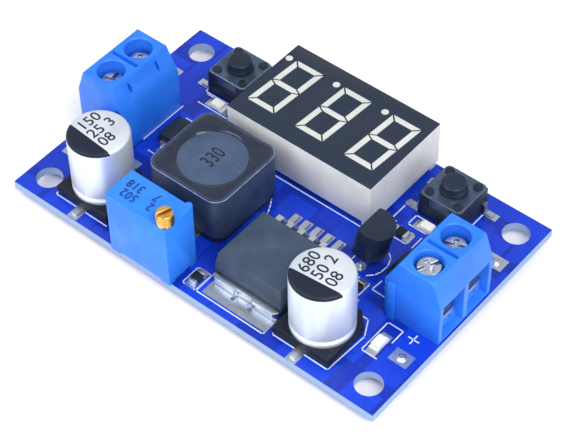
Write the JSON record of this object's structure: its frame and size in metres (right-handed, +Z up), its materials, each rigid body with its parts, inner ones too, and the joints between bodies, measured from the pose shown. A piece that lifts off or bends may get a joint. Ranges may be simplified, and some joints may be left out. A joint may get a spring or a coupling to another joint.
{
  "type": "buck converter module",
  "caption": "Adjustable step-down converter board with screw terminals, shielded coil, trimmer, push buttons and a numeric voltage display.",
  "frame": {"origin": "centre of the rectangle of four mounting holes, on the underside of the board", "axes": "+X from the output terminals to the input terminals, +Y towards the display edge, +Z up through the components"},
  "size_m": [0.0572, 0.036, 0.0143],
  "materials": {
    "board_mask": "deep blue solder mask over glass-fibre board",
    "solder": "tinned copper and solder",
    "block_plastic": "moulded bright blue plastic",
    "contact_tin": "tin-plated spring metal",
    "screw_zinc": "zinc-plated steel",
    "display_plastic": "pale moulded plastic with a printed dark face",
    "display_window": "milky cast resin",
    "inner_board": "glass-fibre board",
    "pin_tin": "tinned copper alloy",
    "switch_plastic": "moulded dark plastic",
    "switch_steel": "pressed steel",
    "button_plastic": "moulded black plastic",
    "dome_steel": "stainless spring steel",
    "can_aluminium": "drawn aluminium",
    "cap_base_plastic": "moulded black plastic",
    "ferrite": "pressed and ground ferrite",
    "winding_copper": "enamelled copper wire",
    "coil_resin": "cast dark resin",
    "coil_base_plastic": "moulded dark plastic",
    "trimmer_plastic": "moulded light blue plastic",
    "trimmer_brass": "turned brass",
    "wheel_plastic": "moulded white plastic",
    "element_ceramic": "alumina with a printed track",
    "regulator_resin": "moulded dark resin",
    "tab_tin": "tinned copper",
    "black_resin": "moulded black resin",
    "chip_body": "glazed ceramic",
    "chip_tin": "tinned ends",
    "lamp_lens": "clear cast resin",
    "lamp_base": "laminate with plated ends"
  },
  "bodies": {
    "module": {"board": "board_mask", "solder_pads": "solder", "solder_joints": "solder", "input_housing": "block_plastic", "input_contacts": "contact_tin", "output_housing": "block_plastic", "output_contacts": "contact_tin", "display_case": "display_plastic", "display_windows": "display_window", "display_board": "inner_board", "display_pins": "pin_tin", "left_switch_base": "switch_plastic", "left_switch_cover": "switch_steel", "left_switch_dome": "dome_steel", "left_switch_leads": "pin_tin", "right_switch_base": "switch_plastic", "right_switch_cover": "switch_steel", "right_switch_dome": "dome_steel", "right_switch_leads": "pin_tin", "output_capacitor_can": "can_aluminium", "output_capacitor_base": "cap_base_plastic", "output_capacitor_leads": "pin_tin", "input_capacitor_can": "can_aluminium", "input_capacitor_base": "cap_base_plastic", "input_capacitor_leads": "pin_tin", "coil_shield": "ferrite", "coil_core": "ferrite", "coil_winding": "winding_copper", "coil_resin": "coil_resin", "coil_base": "coil_base_plastic", "coil_terminals": "pin_tin", "trimmer_case": "trimmer_plastic", "trimmer_element": "element_ceramic", "trimmer_pins": "pin_tin", "regulator_body": "regulator_resin", "regulator_tab": "tab_tin", "regulator_leads": "pin_tin", "transistor_body": "black_resin", "transistor_legs": "pin_tin", "diode_bodies": "black_resin", "diode_leads": "pin_tin", "chip_bodies": "chip_body", "chip_ends": "chip_tin", "lamp_lenses": "lamp_lens", "lamp_bases": "lamp_base", "controller_body": "black_resin", "controller_leads": "pin_tin"},
    "input_plus_guard": {"input_plus_guard": "contact_tin"},
    "input_plus_screw": {"input_plus_screw": "screw_zinc"},
    "input_minus_guard": {"input_minus_guard": "contact_tin"},
    "input_minus_screw": {"input_minus_screw": "screw_zinc"},
    "output_plus_guard": {"output_plus_guard": "contact_tin"},
    "output_plus_screw": {"output_plus_screw": "screw_zinc"},
    "output_minus_guard": {"output_minus_guard": "contact_tin"},
    "output_minus_screw": {"output_minus_screw": "screw_zinc"},
    "left_button": {"left_switch_button": "button_plastic"},
    "right_button": {"right_switch_button": "button_plastic"},
    "adjuster": {"trimmer_screw": "trimmer_brass"},
    "wiper_wheel": {"trimmer_wheel": "wheel_plastic"}
  },
  "joints": [
    {"name": "input_plus_clamp", "type": "slide", "parent": "module", "child": "input_plus_guard", "axis": [0, 0, -1], "range_m": [-0.00049, 0.00176]},
    {"name": "input_plus_turn", "type": "hinge", "parent": "input_plus_guard", "child": "input_plus_screw", "pos_m": [0.02465, -0.00264, 0.008], "axis": [0, 0, -1], "range_deg": [-404, 1412]},
    {"name": "input_minus_clamp", "type": "slide", "parent": "module", "child": "input_minus_guard", "axis": [0, 0, -1], "range_m": [-0.00148, 0.00081]},
    {"name": "input_minus_turn", "type": "hinge", "parent": "input_minus_guard", "child": "input_minus_screw", "pos_m": [0.02465, 0.00244, 0.008], "axis": [0, 0, -1], "range_deg": [-1196, 656]},
    {"name": "output_plus_clamp", "type": "slide", "parent": "module", "child": "output_plus_guard", "axis": [0, 0, -1], "range_m": [-0.00153, 0.00076]},
    {"name": "output_plus_turn", "type": "hinge", "parent": "output_plus_guard", "child": "output_plus_screw", "pos_m": [-0.02505, -0.00244, 0.008], "axis": [0, 0, -1], "range_deg": [-1232, 620]},
    {"name": "output_minus_clamp", "type": "slide", "parent": "module", "child": "output_minus_guard", "axis": [0, 0, -1], "range_m": [-0.0018, 0.00049]},
    {"name": "output_minus_turn", "type": "hinge", "parent": "output_minus_guard", "child": "output_minus_screw", "pos_m": [-0.02505, 0.00264, 0.008], "axis": [0, 0, -1], "range_deg": [-1448, 404]},
    {"name": "left_press", "type": "slide", "parent": "module", "child": "left_button", "axis": [0, 0, -1], "range_m": [0, 0.00025], "stiffness_N_per_m": 3000, "springref_m": -0.0001, "deforming": ["left_switch_dome"]},
    {"name": "right_press", "type": "slide", "parent": "module", "child": "right_button", "axis": [0, 0, -1], "range_m": [0, 0.00025], "stiffness_N_per_m": 3000, "springref_m": -0.0001, "deforming": ["right_switch_dome"]},
    {"name": "adjuster_turn", "type": "hinge", "parent": "module", "child": "adjuster", "pos_m": [-0.0027, -0.01709, 0.0125], "axis": [0, 0, -1], "continuous": true},
    {"name": "wiper_turn", "type": "hinge", "parent": "module", "child": "wiper_wheel", "pos_m": [-0.00624, -0.01709, 0.0064], "axis": [0, 1, 0], "continuous": true}
  ],
  "couplings": [
    {"joint": "input_plus_turn", "follows": "input_plus_clamp", "rad_per_m": 13963},
    {"joint": "input_minus_turn", "follows": "input_minus_clamp", "rad_per_m": 13963},
    {"joint": "output_plus_turn", "follows": "output_plus_clamp", "rad_per_m": 13963},
    {"joint": "output_minus_turn", "follows": "output_minus_clamp", "rad_per_m": 13963},
    {"joint": "wiper_turn", "follows": "adjuster_turn", "ratio": 0.041667}
  ]
}
